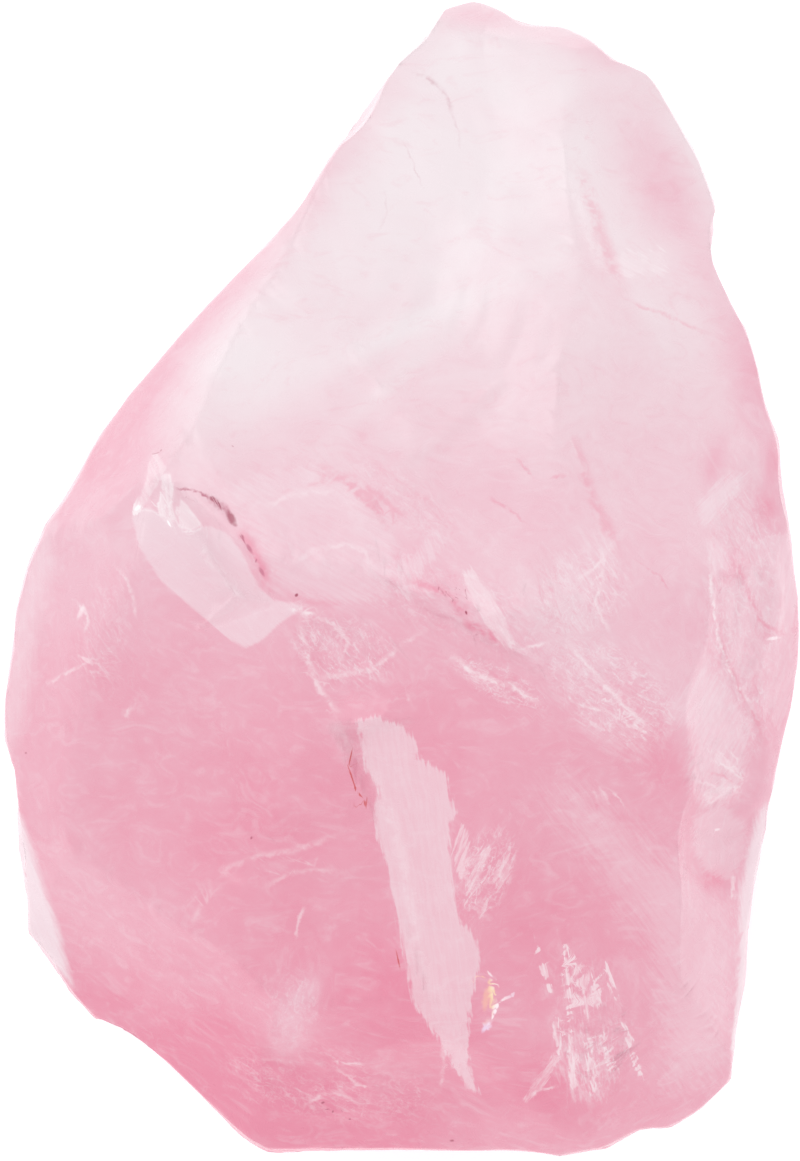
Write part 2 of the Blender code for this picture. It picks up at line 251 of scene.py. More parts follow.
SLIVERS = table(Veil, (
    ("upper_patch", 0.42, 0.20, 0.60, 0.60, -30.0,
     ((610, 262), (622, 252), (640, 254), (656, 250), (668, 264), (662, 278), (640, 276), (620, 282))),
    # Pale broken step facets, partly painted highlights: white flashes where the facets catch the light
    ("broken_step_a", 0.90, 0.08, 0.12, 0.0, -60.0,
     ((134, 506), (142, 502), (147, 508), (140, 518), (134, 514))),
    ("broken_step_b", 0.46, 0.12, 0.10, 0.50, -62.0,
     ((152, 458), (160, 454), (169, 470), (160, 486), (148, 506), (142, 502), (150, 482)), 0.1),
    ("broken_step_c", 0.72, 0.08, 0.06, 0.45, -82.0,
     ((165, 476), (173, 474), (177, 490), (174, 506), (180, 522), (171, 521), (160, 514), (164, 496)), 0.1),
    ("broken_step_d", 0.62, 0.10, 0.06, 0.15, -45.0,
     ((183, 500), (190, 506), (205, 526), (194, 531), (181, 528)), 0.1),
    ("white_sliver", 0.40, 0.20, 0.40, 0.30, -60.0,
     ((464, 566), (471, 566), (480, 579), (492, 594), (502, 612), (509, 632), (511, 652),
      (498, 641), (484, 624), (470, 602), (462, 582))),
    ("flake_side_a", 0.45, 0.14, 0.50, 0.75, 68.0,
     ((457, 822), (466, 818), (470, 845), (462, 876), (452, 856))),
    ("flake_side_b", 0.42, 0.14, 0.50, 0.75, 62.0,
     ((468, 862), (484, 838), (493, 850), (478, 886), (464, 900))),
    ("flake_side_c", 0.36, 0.14, 0.50, 0.75, 60.0,
     ((490, 872), (505, 848), (512, 860), (498, 892))),
    ("flake_side_d", 0.34, 0.14, 0.50, 0.75, 66.0,
     ((474, 896), (486, 888), (482, 914), (470, 918))),
    ("feather_a", 0.66, 0.09, 0.26, 0.55, -76.0,
     ((531, 930), (535, 932), (541, 950), (547, 966), (551, 990), (546, 988), (540, 972), (534, 954))),
    ("feather_b", 0.68, 0.09, 0.26, 0.55, -84.0,
     ((562, 932), (566, 938), (569, 962), (572, 984), (571, 1012), (566, 1020), (563, 990),
      (561, 960))),
    ("feather_c", 0.62, 0.09, 0.28, 0.55, -78.0,
     ((574, 946), (578, 954), (583, 974), (587, 996), (588, 1018), (582, 1008), (577, 984))),
    ("feather_d", 0.60, 0.09, 0.28, 0.60, -72.0,
     ((587, 962), (592, 968), (598, 984), (601, 1002), (596, 1006), (591, 988))),
    ("feather_e", 0.64, 0.09, 0.28, 0.60, -68.0,
     ((603, 958), (607, 962), (613, 978), (617, 994), (613, 998), (607, 984))),
    ("feather_f", 0.62, 0.10, 0.28, 0.60, -66.0,
     ((617, 1010), (622, 1014), (630, 1034), (637, 1054), (642, 1078), (636, 1074), (628, 1052),
      (621, 1034))),
    ("feather_g", 0.40, 0.12, 0.34, 0.60, 54.0,
     ((522, 1098), (536, 1076), (553, 1052), (558, 1056), (545, 1080), (530, 1097))),
    ("feather_h", 0.60, 0.10, 0.28, 0.60, -86.0,
     ((553, 1008), (557, 1012), (560, 1034), (559, 1054), (554, 1048), (552, 1028))),
    ("feather_i", 0.62, 0.10, 0.30, 0.60, -82.0,
     ((567, 1024), (572, 1028), (576, 1052), (576, 1084), (570, 1090), (566, 1060))),
    ("feather_j", 0.58, 0.10, 0.30, 0.60, -78.0,
     ((583, 1030), (588, 1034), (594, 1056), (596, 1084), (590, 1096), (586, 1064))),
    ("feather_k", 0.56, 0.10, 0.30, 0.60, -72.0,
     ((600, 1022), (604, 1028), (610, 1046), (613, 1068), (608, 1074), (603, 1052))),
    ("shell_blade_a", 0.30, 0.16, 0.40, 0.40, 35.0,
     ((700, 792), (722, 776), (742, 782), (724, 792), (708, 806))),
    ("shell_blade_b", 0.28, 0.16, 0.40, 0.40, -45.0,
     ((706, 748), (724, 754), (742, 774), (730, 772), (712, 760))),
    ("low_rim_blade", 0.50, 0.10, 0.16, 0.10, -80.0,
     ((729, 872), (734, 872), (733, 904), (729, 900))),
))

STROKES = table(Stroke, (
    ("rust_crack", 0.10, 0.80, ((178, 490), (190, 490), (200, 493), (209, 497), (218, 501)), 1.0),
    ("rust_knot", 0.26, 0.62, ((212, 498), (222, 505), (230, 512), (236, 520)), 1.0),
    ("rust_crack_tail", 0.42, 0.70, ((240, 528), (250, 541), (258, 556), (266, 572), (270, 588)), -1.0),
    ("tail_blush", 0.45, 0.30, ((256, 560), (264, 580), (276, 592)), -1.0),
    ("shell_arc_a", 0.30, 0.58, ((316, 463), (330, 472), (345, 482), (361, 498), (377, 513),
      (390, 536)), -0.9),
    ("shell_arc_b", 0.24, 0.44, ((340, 470), (358, 480), (376, 496), (398, 512), (416, 524)), -0.9),
    ("shell_base", 0.22, 0.45, ((281, 590), (300, 598), (320, 602), (342, 605)), -0.9),
    ("band_line_a", 0.28, 0.68, ((405, 578), (424, 584), (444, 592), (458, 606), (472, 620)), -1.0),
    ("band_line_b", 0.30, 0.85, ((460, 620), (474, 626), (488, 633), (500, 646)), -1.0),
    ("tip_crack", 0.15, 0.30, ((414, 75), (430, 82), (442, 92), (449, 104), (452, 118)), 1.0),
    ("tip_crack_tail", 0.08, 0.14, ((450, 112), (457, 132), (461, 156)), 1.0),
    ("upper_hair_a", 0.07, 0.18, ((405, 144), (411, 164), (424, 190)), 1.0),
    ("upper_hair_b", 0.10, 0.10, ((383, 192), (388, 214), (378, 236)), 1.0),
    ("left_splinter", 0.22, 0.52, ((299, 618), (307, 648), (314, 673), (324, 692), (344, 716))),
    ("cross_splinter", 0.20, 0.42, ((312, 678), (350, 672), (373, 668), (391, 653), (409, 639),
      (432, 624))),
    ("upper_splinter", 0.14, 0.34, ((292, 612), (330, 620), (350, 640), (340, 664))),
    ("shelf_splinter", 0.14, 0.80, ((290, 608), (304, 612), (318, 614))),
    ("chain_a", 0.22, 0.62, ((440, 646), (460, 662), (476, 674), (508, 684), (542, 702))),
    ("chain_b", 0.16, 0.62, ((505, 634), (516, 650), (530, 646), (548, 640))),
    ("strand_a", 0.16, 0.55, ((560, 636), (584, 664), (612, 694), (652, 734))),
    ("strand_b", 0.12, 0.50, ((572, 702), (600, 708), (628, 724), (654, 738))),
    ("strand_c", 0.14, 0.42, ((590, 532), (600, 572), (592, 604), (612, 640))),
    ("strand_d", 0.14, 0.45, ((612, 540), (596, 566), (574, 582))),
    ("ridge_blush", 0.46, 0.46, ((566, 430), (584, 480), (600, 520), (622, 560)), -0.9),
    ("right_arc_dark", 0.16, 0.62, ((712, 610), (722, 655), (738, 690), (753, 714), (768, 750)), -0.9),
    ("right_arc", 0.15, 0.75, ((706, 548), (708, 592), (716, 640), (731, 678), (756, 718))),
    ("edge_line", 0.16, 0.50, ((733, 558), (744, 590), (760, 622), (786, 636)), -1.0),
    ("fan_a", 0.11, 0.45, ((746, 784), (728, 768), (706, 757))),
    ("fan_b", 0.10, 0.40, ((748, 780), (733, 758), (722, 742))),
    ("fan_c", 0.10, 0.34, ((744, 788), (716, 786), (688, 778))),
    ("fan_d", 0.12, 0.34, ((744, 792), (722, 792), (700, 806))),
    ("fan_shade", 0.10, 0.45, ((744, 786), (722, 776), (700, 768)), -1.0),
    ("pale_nick_a", 0.12, 0.60, ((580, 778), (592, 788), (598, 800))),
    ("pale_nick_b", 0.10, 0.55, ((604, 784), (612, 790), (622, 806))),
    ("dark_nick", 0.12, 0.55, ((588, 786), (592, 796), (596, 808)), -1.0),
    ("faint_arc_a", 0.22, 0.28, ((200, 886), (226, 866), (262, 852), (300, 846), (346, 828))),
    ("faint_arc_b", 0.20, 0.28, ((262, 886), (290, 870), (322, 866), (352, 872))),
    ("faint_arc_c", 0.20, 0.26, ((192, 922), (208, 894), (236, 876))),
    ("short_splinter_a", 0.12, 0.45, ((306, 902), (300, 918), (296, 936))),
    ("short_splinter_b", 0.12, 0.40, ((141, 694), (134, 706), (127, 720))),
    ("short_splinter_c", 0.12, 0.35, ((404, 690), (410, 700), (412, 708))),
    ("bottom_line_a", 0.11, 0.45, ((331, 1058), (366, 1061))),
    ("bottom_line_b", 0.11, 0.40, ((334, 1064), (356, 1080), (374, 1088))),
    ("bottom_line_c", 0.14, 0.32, ((440, 1090), (444, 1062), (441, 1040))),
    ("foot_splinter", 0.12, 0.55, ((528, 1092), (546, 1086), (560, 1084))),
    # Painted light: a pale band over the foot of the scar's wall, lightening the shade in that crease
    ("flake_hollow", 0.45, 0.22, ((352, 738), (372, 766), (392, 812), (402, 856), (412, 904),
      (420, 950), (436, 988), (456, 1012))),
    # Painted light: a pale band over the shaded head of the scar
    ("scar_head_light", 0.55, 0.22, ((330, 716), (340, 728), (348, 744), (354, 758))),
    ("upper_ridge_blush", 0.55, 0.44, ((572, 160), (588, 198), (602, 240), (612, 272), (622, 300)), -0.8),
    ("upper_ridge_light", 0.40, 0.40, ((562, 168), (576, 204), (590, 246), (604, 280))),
    ("upper_line", 0.13, 0.42, ((616, 298), (642, 310), (668, 318), (694, 330), (722, 342)), -0.8),
    # Painted light: a pale line over the shaded crease below the shelf
    ("shelf_hollow", 0.34, 0.36, ((196, 536), (208, 553), (222, 570), (238, 589), (250, 606))),
    ("tick_a", 0.10, 0.45, ((514, 462), (522, 468), (532, 478)), -1.0),
    ("tick_b", 0.09, 0.40, ((546, 480), (558, 476), (572, 480)), -1.0),
    ("tick_c", 0.10, 0.40, ((486, 496), (504, 508), (526, 524)), -1.0),
    ("right_hair", 0.08, 0.45, ((628, 558), (644, 568), (660, 580), (668, 596)), -1.0),
    ("ridge_crack", 0.08, 0.50, ((562, 432), (572, 448), (580, 470))),
    # Painted highlights: thin white lines along the broken step edges
    ("step_line_a", 0.10, 0.80, ((165, 480), (163, 498), (160, 516))),
    ("step_line_b", 0.10, 0.75, ((177, 482), (174, 502), (171, 524))),
    ("step_line_c", 0.10, 0.70, ((184, 506), (194, 514), (205, 528), (196, 533), (178, 533))),
    ("shelf_foot_line", 0.10, 0.45, ((136, 514), (152, 510), (170, 522), (186, 534))),
    ("shell_streak_a", 0.20, 0.34, ((262, 510), (288, 498), (318, 492), (344, 494))),
    ("shell_streak_b", 0.16, 0.30, ((278, 498), (300, 486), (322, 484), (336, 486)), -0.8),
    ("shell_lens", 0.18, 0.32, ((290, 566), (312, 552), (342, 544), (366, 552), (376, 572))),
    ("bottom_fan_a", 0.14, 0.40, ((292, 1098), (312, 1078), (330, 1064)), -0.9),
    ("bottom_fan_b", 0.12, 0.36, ((318, 1062), (346, 1066), (376, 1070)), -0.9),
    ("bottom_fan_c", 0.12, 0.34, ((300, 1108), (322, 1092), (340, 1090), (362, 1104))),
    ("corner_mark_a", 0.14, 0.55, ((120, 566), (130, 580), (136, 598), (140, 618))),
    ("corner_mark_b", 0.12, 0.50, ((76, 598), (86, 606), (92, 620), (88, 634))),
    ("corner_mark_c", 0.12, 0.45, ((40, 690), (62, 676), (86, 664), (106, 662))),
))

RUST = (0.34, 0.045, 0.095)
RED = (0.55, 0.06, 0.06)
# Colour of the painted highlights: the glints and the bright lines along veil edges
HIGHLIGHT_WHITE = (0.98, 0.94, 0.96)
GHOST = (0.86, 0.76, 0.79)

SPOTS = table(Spot, (
    ("step_speck_a", 157, 455, 0.14, 0.07, 20.0, 0.6, RUST),
    ("step_speck_b", 164, 452, 0.12, 0.06, 60.0, 0.5, RUST),
    ("step_speck_c", 235, 448, 0.12, 0.05, -30.0, 0.4, RUST),
    ("shelf_speck", 298, 595, 0.16, 0.12, 40.0, 0.9, RUST),
    ("crack_blob", 215, 500, 0.26, 0.18, -40.0, 0.8, RUST),
    ("crack_knot", 234, 519, 0.66, 0.26, -62.0, 0.80, RUST),
    ("crack_fleck_a", 252, 549, 0.45, 0.16, -58.0, 0.70, (0.45, 0.10, 0.18)),
    ("crack_fleck_b", 264, 572, 0.45, 0.14, -60.0, 0.60, (0.45, 0.10, 0.18)),
    ("band_tick_a", 438, 588, 0.20, 0.06, 80.0, 0.50, RUST),
    ("band_tick_b", 445, 593, 0.18, 0.05, 84.0, 0.50, RUST),
    ("band_tick_c", 452, 600, 0.16, 0.05, 76.0, 0.45, RUST),
    ("sliver_speck", 465, 612, 0.16, 0.09, -70.0, 0.9, RUST),
    ("ring", 354, 571, 0.22, 0.22, 0.0, 0.18, (0.60, 0.42, 0.44)),
    ("face_speck", 253, 835, 0.13, 0.09, 70.0, 0.6, RUST),
    ("left_speck", 28, 752, 0.10, 0.08, 0.0, 0.6, RUST),
    ("bottom_speck_a", 323, 1101, 0.14, 0.09, 20.0, 0.7, RUST),
    ("bottom_speck_b", 333, 1110, 0.12, 0.09, 70.0, 0.6, RUST),
    ("bottom_speck_c", 350, 1118, 0.12, 0.08, 0.0, 0.6, RUST),
    ("bottom_speck_d", 452, 1140, 0.18, 0.10, 10.0, 0.7, RUST),
    # Painted highlights: an iridescent glint of warm, yellow, white and lilac flashes
    ("glint_warm", 485, 994, 0.95, 0.30, 86.0, 0.50, (0.90, 0.50, 0.34)),
    ("glint_yellow", 490, 990, 0.75, 0.16, -84.0, 0.75, (0.93, 0.80, 0.46)),
    ("glint_white_a", 496, 1002, 0.30, 0.15, 72.0, 0.75, HIGHLIGHT_WHITE),
    ("glint_white_b", 491, 1013, 0.26, 0.14, 50.0, 0.70, HIGHLIGHT_WHITE),
    ("glint_lilac_a", 484, 1024, 0.40, 0.22, 60.0, 0.65, (0.82, 0.72, 0.92)),
    ("glint_lilac_b", 492, 1021, 0.26, 0.16, 80.0, 0.60, (0.86, 0.80, 0.94)),
    ("glint_side_a", 504, 994, 0.26, 0.13, 30.0, 0.50, HIGHLIGHT_WHITE),
    ("glint_side_b", 512, 990, 0.20, 0.10, 60.0, 0.45, (0.88, 0.82, 0.94)),
    ("glint_tip_a", 488, 969, 0.30, 0.10, -56.0, 0.55, HIGHLIGHT_WHITE),
    ("glint_tip_b", 496, 978, 0.24, 0.09, -70.0, 0.45, HIGHLIGHT_WHITE),
    ("red_crack_a", 351, 756, 0.85, 0.06, 78.0, 0.80, RED),
    ("red_crack_b", 353, 776, 0.70, 0.07, -72.0, 0.85, RED),
    ("red_crack_c", 360, 791, 0.55, 0.06, -50.0, 0.85, RED),
    ("red_crack_d", 367, 800, 0.50, 0.06, 86.0, 0.70, RED),
    ("red_nick", 398, 955, 0.70, 0.07, -78.0, 0.85, RED),
    # Painted highlights on the broken step facets
    ("shelf_glint", 141, 509, 0.30, 0.16, 40.0, 1.0, HIGHLIGHT_WHITE),
    ("step_glint", 172, 524, 0.30, 0.08, -62.0, 0.9, HIGHLIGHT_WHITE),
    # The first of these two is a painted glint on the left corner; the second is a pale mark
    ("pale_left_a", 84, 612, 0.55, 0.22, 70.0, 0.45, (0.92, 0.86, 0.88)),
    ("pale_left_b", 88, 658, 0.60, 0.18, -30.0, 0.35, (0.92, 0.86, 0.88)),
    # Painted highlights on the round shell and the right edge
    ("round_shell_glint", 715, 828, 0.26, 0.12, 10.0, 0.45, HIGHLIGHT_WHITE),
    ("edge_glint", 771, 638, 0.50, 0.14, 8.0, 0.45, HIGHLIGHT_WHITE),
))

PATCHES = table(Patch, (
    ("left_flank", 222, 282, 250, 30, 51.0, 0.40),
    ("left_shoulder", 120, 455, 84, 46, 52.0, 0.24),
    ("tip", 478, 18, 46, 16, -8.0, 0.26),
    ("tip_right", 590, 52, 60, 14, -22.0, 0.20),
    ("upper_right_rim", 672, 190, 120, 34, -62.0, 0.28),
    ("right_rim", 758, 376, 90, 28, -68.0, 0.30),
    ("upper_ridge", 592, 262, 70, 16, -65.0, 0.12),
    ("milky_top", 440, 110, 110, 60, 80.0, -0.10),
    ("milky_left", 235, 390, 90, 50, 40.0, -0.16),
    ("milky_band", 412, 328, 100, 15, 25.0, -0.16),
    ("milky_band_low", 385, 392, 70, 12, 42.0, -0.12),
    ("beyond_ridge", 640, 190, 70, 34, -62.0, 0.16),
    ("middle_right", 620, 540, 130, 80, 20.0, -0.08),
    ("left_face", 120, 640, 110, 70, 60.0, 0.08),
    ("deep_heart", 320, 800, 190, 130, 20.0, 0.12),
    ("heart_of_flake", 545, 920, 100, 60, -60.0, 0.12),
    ("centre_pale", 580, 640, 150, 52, -35.0, -0.24),
    # Painted light: the scar_head patch makes the stone paler over the shaded head of the scar
    ("scar_head", 344, 740, 18, 12, -60.0, -0.14),
    ("right_band", 645, 730, 80, 26, -60.0, 0.20),
    ("deep_bottom", 270, 1092, 190, 60, -26.0, 0.42),
    ("deep_foot", 400, 1010, 120, 70, -30.0, 0.22),
    ("deep_corner", 545, 1085, 90, 40, -10.0, 0.18),
    ("grey_left", 110, 900, 140, 60, -60.0, -0.10),
    ("right_side", 720, 690, 190, 70, -85.0, -0.16),
    ("right_bottom", 715, 980, 120, 44, -85.0, -0.10),
    ("cloud_low", 288, 1028, 44, 22, 80.0, -0.26),
    ("cloud_mid", 308, 986, 24, 13, 50.0, -0.26),
    ("rim_spot_a", 765, 507, 12, 16, 0.0, 0.34),
    ("rim_spot_b", 737, 566, 12, 20, -60.0, 0.25),
    ("rim_spot_d", 770, 466, 22, 9, 80.0, 0.26),
    ("rim_spot_e", 712, 462, 26, 10, 75.0, 0.20),
    ("rim_spot_c", 712, 878, 14, 10, 0.0, 0.30),
))

ZONES = table(Zone, (
    ("middle_band", 470, 610, 230, 50, -20.0, 0.75, 0.45, -38.0),
    ("step_corner", 240, 520, 110, 46, -45.0, 0.50, 0.25, -45.0),
    ("shelf_foot", 345, 648, 66, 42, -15.0, 0.80, 0.75, -52.0),
    ("strands", 606, 690, 82, 52, -36.0, 0.75, 0.95, -33.0),
    ("centre_wisps", 578, 590, 52, 70, -60.0, 0.60, 0.75, -57.0),
    ("chain", 498, 682, 62, 18, -25.0, 0.80, 1.00, -28.0),
    ("high_line", 400, 500, 100, 34, -35.0, 0.50, 0.45, -40.0),
    ("right_edge", 742, 610, 180, 52, -88.0, 0.85, 0.62, -62.0),
    ("right_fan", 715, 770, 60, 50, -80.0, 0.80, 0.36, 24.0),
    ("right_rim_low", 742, 960, 110, 22, -82.0, 0.50, 0.40, -82.0),
    ("bottom_edge", 330, 1080, 150, 60, -10.0, 0.60, 0.45, -30.0),
    ("feather_foot", 592, 1024, 92, 52, -80.0, 0.85, 0.60, -80.0),
    ("flake_side", 484, 866, 56, 32, 68.0, 0.60, 0.95, 64.0),
    ("upper_right", 660, 270, 70, 36, -20.0, 0.45, 0.30, -20.0),
    ("left_corner", 106, 630, 70, 36, 75.0, 0.45, 0.55, -62.0),
    ("low_cloud", 292, 1010, 62, 36, 82.0, 0.30, 0.50, 82.0),
    ("upper_waves", 352, 372, 90, 34, 18.0, 0.30, 0.25, 18.0),
))

RIPPLES = table(Ripple, (
    ("upper_waves", 300, 250, 60, 330, -38.0, 60.0, 2.6, 0.06),
    ("middle_waves", 330, 330, 90, 260, -75.0, 50.0, 1.9, 0.05),
    ("lower_waves", 330, 650, 60, 420, -100.0, 60.0, 3.4, 0.06),
    ("right_waves", 640, 600, 60, 190, -10.0, 60.0, 2.2, 0.10),
    ("right_low_waves", 690, 740, 20, 160, -60.0, 70.0, 1.8, 0.08),
    ("bottom_waves", 330, 1000, 40, 150, -100.0, 70.0, 1.8, 0.08),
))


def on_stone(column, row):
    """The place across and along the stone, in millimetres, under one pixel of the photograph."""
    return (column - MIDDLE_COLUMN) * PIXEL, (MIDDLE_ROW - row) * PIXEL


def route_on_stone(route):
    """The places, in millimetres, under a row of pixels."""
    return np.array([on_stone(column, row) for column, row in route])


def smooth_between(low, high, value):
    """0 below `low`, 1 above `high` and an even curve between, for arrays."""
    share = np.clip((value - low) / (high - low), 0.0, 1.0)
    return share * share * (3.0 - 2.0 * share)


def noise_on(points, size, octaves=3, offset=0.0):
    """Fractal noise of about -1 to 1 at points in millimetres, with lumps about `size` wide."""
    shift = Vector((offset, offset * 0.7, -offset))
    return np.array([
        noise.fractal(Vector(p) / size + shift, 0.8, 2.0, octaves) for p in points
    ])


def turned(points, centre, turn):
    """Points seen from a centre along and across a direction `turn` degrees from across the stone."""
    angle = math.radians(turn)
    gap = points[:, :2] - centre
    along = gap[:, 0] * math.cos(angle) + gap[:, 1] * math.sin(angle)
    across = gap[:, 1] * math.cos(angle) - gap[:, 0] * math.sin(angle)
    return along, across


def distance_to_segment(points, start, end):
    """The distance to one straight run, the side it is on, and how far along it is as a share."""
    run = end - start
    gap = points[:, :2] - start
    share = np.clip(gap @ run / (run @ run), 0.0, 1.0)
    away = gap - share[:, None] * run
    side = np.where(run[0] * gap[:, 1] - run[1] * gap[:, 0] < 0.0, -1.0, 1.0)
    return np.linalg.norm(away, axis=1), side, share


def inside_outline(points, corners):
    """How far each point is inside a closed outline, below zero outside it."""
    nearest = np.full(len(points), 1e9)
    inside = np.zeros(len(points), bool)
    for start, end in zip(corners, np.roll(corners, -1, axis=0)):
        distance, _, _ = distance_to_segment(points, start, end)
        nearest = np.minimum(nearest, distance)
        crosses = (start[1] > points[:, 1]) != (end[1] > points[:, 1])
        rise = end[1] - start[1] if end[1] != start[1] else 1e-9
        at = (end[0] - start[0]) * (points[:, 1] - start[1]) / rise + start[0]
        inside ^= crosses & (points[:, 0] < at)
    return np.where(inside, nearest, -nearest)


class StoneSettings(bpy.types.PropertyGroup):
    """Sizes and colours of the stone."""

    levels: IntProperty(
        name="Fineness", description="How many times each facet is divided", default=2, min=1, max=3)
    relief: FloatProperty(
        name="Relief", description="Strength of the ripples and splinters", default=1.0, min=0.0, max=3.0)
    milky: FloatVectorProperty(
        name="Milky pink", description="Colour of the palest stone", subtype="COLOR", size=3,
        default=(0.790, 0.700, 0.730), min=0.0, max=1.0)
    pink: FloatVectorProperty(
        name="Pink", description="Colour between the palest and the deepest", subtype="COLOR", size=3,
        default=(0.755, 0.435, 0.518), min=0.0, max=1.0)
    deep: FloatVectorProperty(
        name="Deep pink", description="Colour of the deepest stone", subtype="COLOR", size=3,
        default=(0.730, 0.235, 0.340), min=0.0, max=1.0)
    veil: FloatVectorProperty(
        name="Veil", description="Colour of the pale faults and flakes", subtype="COLOR", size=3,
        default=(0.810, 0.690, 0.735), min=0.0, max=1.0)
    rust: FloatVectorProperty(
        name="Rust", description="Colour of the stain in the cracks", subtype="COLOR", size=3,
        default=(0.420, 0.070, 0.140), min=0.0, max=1.0)
    roughness: FloatProperty(
        name="Roughness", description="Roughness of the smooth breaks", default=0.26, min=0.0, max=1.0)


class StageSettings(bpy.types.PropertyGroup):
    """The floor, the light and the camera."""

    floor_width: FloatProperty(name="Floor", description="Width of the floor", default=3.0, unit="LENGTH")
    floor_colour: FloatVectorProperty(
        name="Floor colour", description="Colour of the floor", subtype="COLOR", size=3,
        default=(0.97, 0.97, 0.97), min=0.0, max=1.0)
    glow: FloatProperty(
        name="Glow", description="Light that the floor gives off itself", default=0.30, min=0.0)
    sky: FloatProperty(
        name="Sky", description="Strength of the even light from all round", default=1.03, min=0.0)
    key: FloatProperty(
        name="Key light", description="Power of the large soft light", default=0.8, min=0.0, unit="POWER")
    height: FloatProperty(
        name="Camera height", description="Height of the camera over the stone's rim", default=1.0,
        unit="LENGTH")
    rim: FloatProperty(
        name="Rim height", description="Height of the stone's outline over the floor", default=13.0 * MM,
        unit="LENGTH")


class Value:
    """One output of a shader, so that sums of shader values read as sums."""

    def __init__(self, shader, socket):
        self.shader = shader
        self.socket = socket

    def _math(self, operation, *others):
        values = {0: self}
        values.update({i + 1: other for i, other in enumerate(others)})
        return self.shader.node("ShaderNodeMath", {"operation": operation}, values)

    def __add__(self, other):
        return self._math("ADD", other)

    __radd__ = __add__

    def __sub__(self, other):
        return self._math("SUBTRACT", other)

    def __rsub__(self, other):
        return self.shader.node("ShaderNodeMath", {"operation": "SUBTRACT"}, {0: other, 1: self})

    def __mul__(self, other):
        return self._math("MULTIPLY", other)

    __rmul__ = __mul__

    def __truediv__(self, other):
        return self._math("DIVIDE", other)

    def clamped(self):
        return self.shader.node("ShaderNodeMath", {"operation": "ADD", "use_clamp": True}, {0: self, 1: 0.0})

    def size(self):
        return self._math("ABSOLUTE")


class Shader:
    """A material's nodes, made one at a time."""

    def __init__(self, material):
        material.use_nodes = True
        self.tree = material.node_tree
        self.surface = self.tree.nodes["Principled BSDF"]
        self.output = self.tree.nodes["Material Output"]

    def put(self, socket, value):
        if isinstance(value, Value):
            self.tree.links.new(value.socket, socket)
        elif isinstance(value, (tuple, list)) and len(value) == 3 and len(socket.default_value) == 4:
            socket.default_value = (*value, 1.0)
        else:
            socket.default_value = value

    def node(self, kind, settings, values, output=0):
        made = self.tree.nodes.new(kind)
        for name, setting in settings.items():
            if name == "stops":
                ramp = made.color_ramp
                while len(ramp.elements) < len(setting):
                    ramp.elements.new(0.5)
                for element, (position, colour) in zip(ramp.elements, setting):
                    element.position = position
                    element.color = (*colour, 1.0)
            else:
                setattr(made, name, setting)
        for name, value in values.items():
            self.put(made.inputs[name], value)
        return Value(self, made.outputs[output])

    def attribute(self, name, output="Fac"):
        return self.node("ShaderNodeAttribute", {"attribute_name": name}, {}, output)

    def place(self):
        return self.node("ShaderNodeTexCoord", {}, {}, "Object")

    def noise(self, place, size, detail=3.0, rough=0.55, distortion=0.0):
        values = {
            "Vector": place, "Scale": 1.0 / size, "Detail": detail, "Roughness": rough,
            "Distortion": distortion,
        }
        return self.node("ShaderNodeTexNoise", {"noise_dimensions": "3D"}, values, "Fac")

    def steps(self, value, low, high, from_value=0.0, to_value=1.0):
        values = {
            "Value": value, "From Min": low, "From Max": high, "To Min": from_value, "To Max": to_value,
        }
        return self.node("ShaderNodeMapRange", {"interpolation_type": "SMOOTHSTEP"}, values)

    def blend(self, share, a, b):
        return self.node("ShaderNodeMix", {"data_type": "RGBA", "clamp_factor": True},
                         {0: share, 6: a, 7: b}, 2)

    def surface_values(self, **values):
        for name, value in values.items():
            self.put(self.surface.inputs[name.replace("_", " ")], value)


def merged_copy(node):
    """A CAD node's facets as one joined mesh, ready to be made finer."""
    bm = bmesh.new()
    bm.from_mesh(node.data)
    bmesh.ops.remove_doubles(bm, verts=bm.verts, dist=MERGE)
    bm.normal_update()
    crease = bm.edges.layers.float.new("crease_edge")
    for edge in bm.edges:
        angle = math.degrees(edge.calc_face_angle(0.0)) if edge.is_convex else 0.0
        edge[crease] = min(max((angle - CREASE_FROM) / (CREASE_FULL - CREASE_FROM), 0.0), 1.0)
    mesh = bpy.data.meshes.new(node.name + "_coarse")
    bm.to_mesh(mesh)
    bm.free()
    return mesh


def finer(mesh, levels):
    """The mesh divided by Subdivision Surface, with its creased ridges kept."""
    holder = bpy.data.objects.new("finer", mesh)
    bpy.context.scene.collection.objects.link(holder)
    divide = holder.modifiers.new("divide", "SUBSURF")
    divide.levels = levels
    divide.render_levels = levels
    depsgraph = bpy.context.evaluated_depsgraph_get()
    made = bpy.data.meshes.new_from_object(holder.evaluated_get(depsgraph))
    bpy.data.objects.remove(holder)
    bpy.data.meshes.remove(mesh)
    return made


def read_points(mesh):
    """The mesh's points and normals, points in millimetres."""
    points = np.empty(len(mesh.vertices) * 3, np.float32)
    normals = np.empty(len(mesh.vertices) * 3, np.float32)
    mesh.vertices.foreach_get("co", points)
    mesh.vertices.foreach_get("normal", normals)
    return points.reshape(-1, 3).astype(float) / MM, normals.reshape(-1, 3).astype(float)


def write_points(mesh, points):
    """Puts points in millimetres back into the mesh, within the CAD model's box."""
    low, high = (np.array(corner) / MM for corner in CAD_BOX)
    points = np.clip(points, low, high)
    mesh.vertices.foreach_set("co", (points * MM).astype(np.float32).ravel())
    mesh.update()


